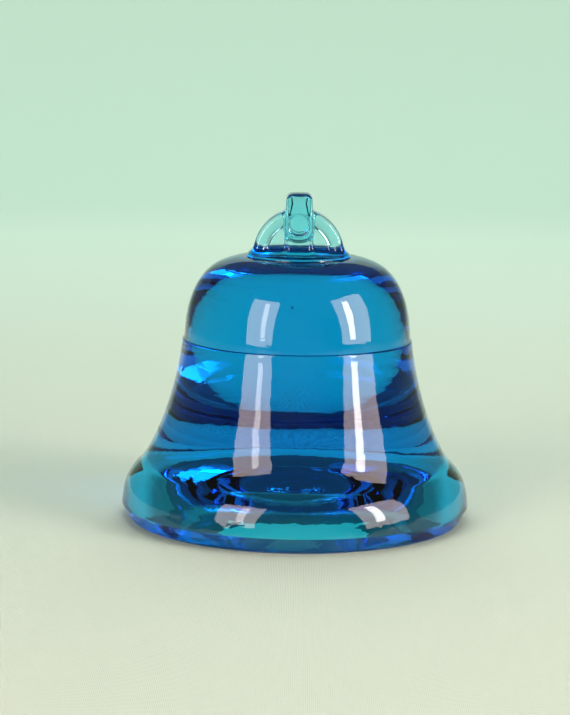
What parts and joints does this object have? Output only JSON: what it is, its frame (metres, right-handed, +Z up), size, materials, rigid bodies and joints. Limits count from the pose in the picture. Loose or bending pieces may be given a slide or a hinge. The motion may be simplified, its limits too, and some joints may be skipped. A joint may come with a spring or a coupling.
{
  "type": "glass bell",
  "caption": "Solid pressed-glass bell with a flared skirt, a domed top and a moulded hanger crown; it stands on its foot as a paperweight.",
  "frame": {"origin": "centre of the foot, on the surface that the bell stands on", "axes": "+Z up along the bell's axis; +X left to right across the crown arch; -Y is the front"},
  "size_m": [0.0824, 0.0824, 0.0775],
  "materials": {
    "body_glass": "clear, fire-polished, coloured through",
    "crown_glass": "the same glass, paler because it is thin"
  },
  "bodies": {
    "root": {"skirt": "body_glass", "dome": "body_glass", "crown_pad": "body_glass", "crown_arch_left": "crown_glass", "crown_arch_right": "crown_glass", "crown_web_left": "crown_glass", "crown_web_right": "crown_glass", "crown_post": "crown_glass", "crown_knuckle": "crown_glass"}
  },
  "joints": []
}
